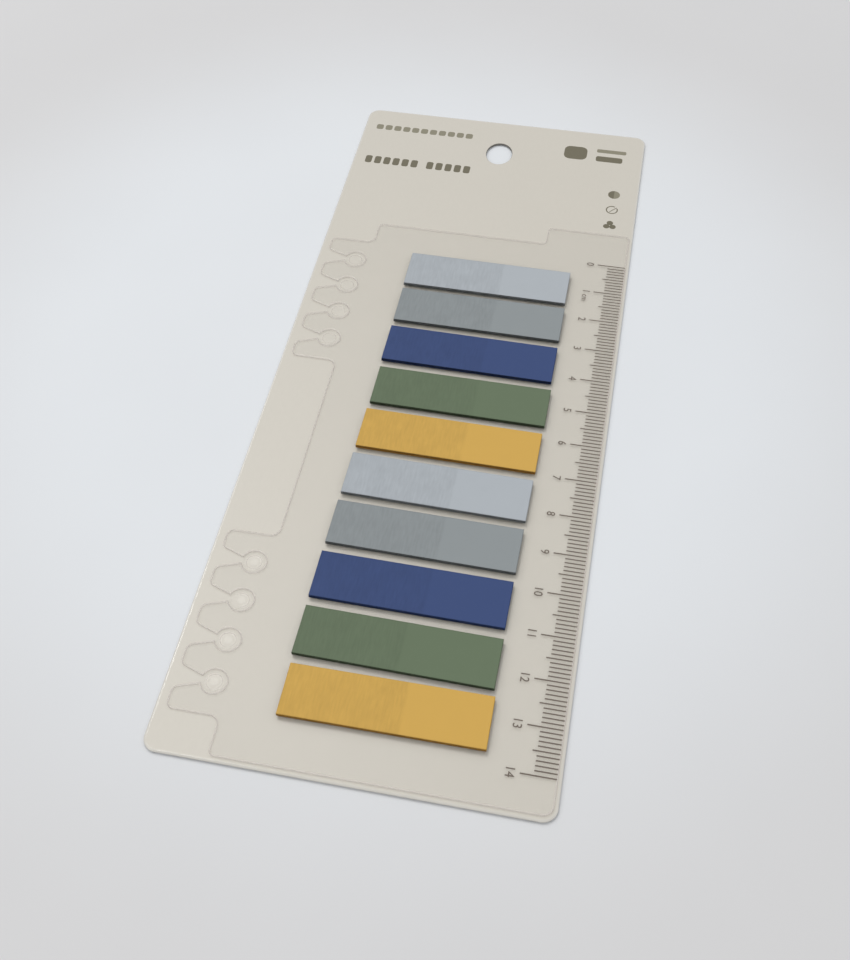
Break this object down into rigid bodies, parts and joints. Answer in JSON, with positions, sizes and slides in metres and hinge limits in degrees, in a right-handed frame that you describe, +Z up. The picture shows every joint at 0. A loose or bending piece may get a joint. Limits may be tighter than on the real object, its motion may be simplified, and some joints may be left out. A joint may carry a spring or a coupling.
{
  "type": "sticky index tabs",
  "caption": "Film index tab pads on a clear punched ruler plate with a loose-leaf comb edge, laid on a rounded backing card with a hang hole.",
  "frame": {"origin": "middle of the backing card's underside, on the surface that it lies on", "axes": "+X to the ruler edge, +Y along the card to its hang hole, +Z up out of the card's printed face"},
  "size_m": [0.0798, 0.2036, 0.002],
  "materials": {
    "card": "matte",
    "clear_plate": "gloss",
    "pale_blue_film": "satin",
    "grey_film": "satin",
    "blue_film": "satin",
    "green_film": "satin",
    "ochre_film": "satin"
  },
  "bodies": {
    "root": {"backing_card": "card", "ruler_plate": "clear_plate", "tab_pad_01_pale_blue": "pale_blue_film", "tab_pad_02_grey": "grey_film", "tab_pad_03_blue": "blue_film", "tab_pad_04_green": "green_film", "tab_pad_05_ochre": "ochre_film", "tab_pad_06_pale_blue": "pale_blue_film", "tab_pad_07_grey": "grey_film", "tab_pad_08_blue": "blue_film", "tab_pad_09_green": "green_film", "tab_pad_10_ochre": "ochre_film"}
  },
  "joints": []
}
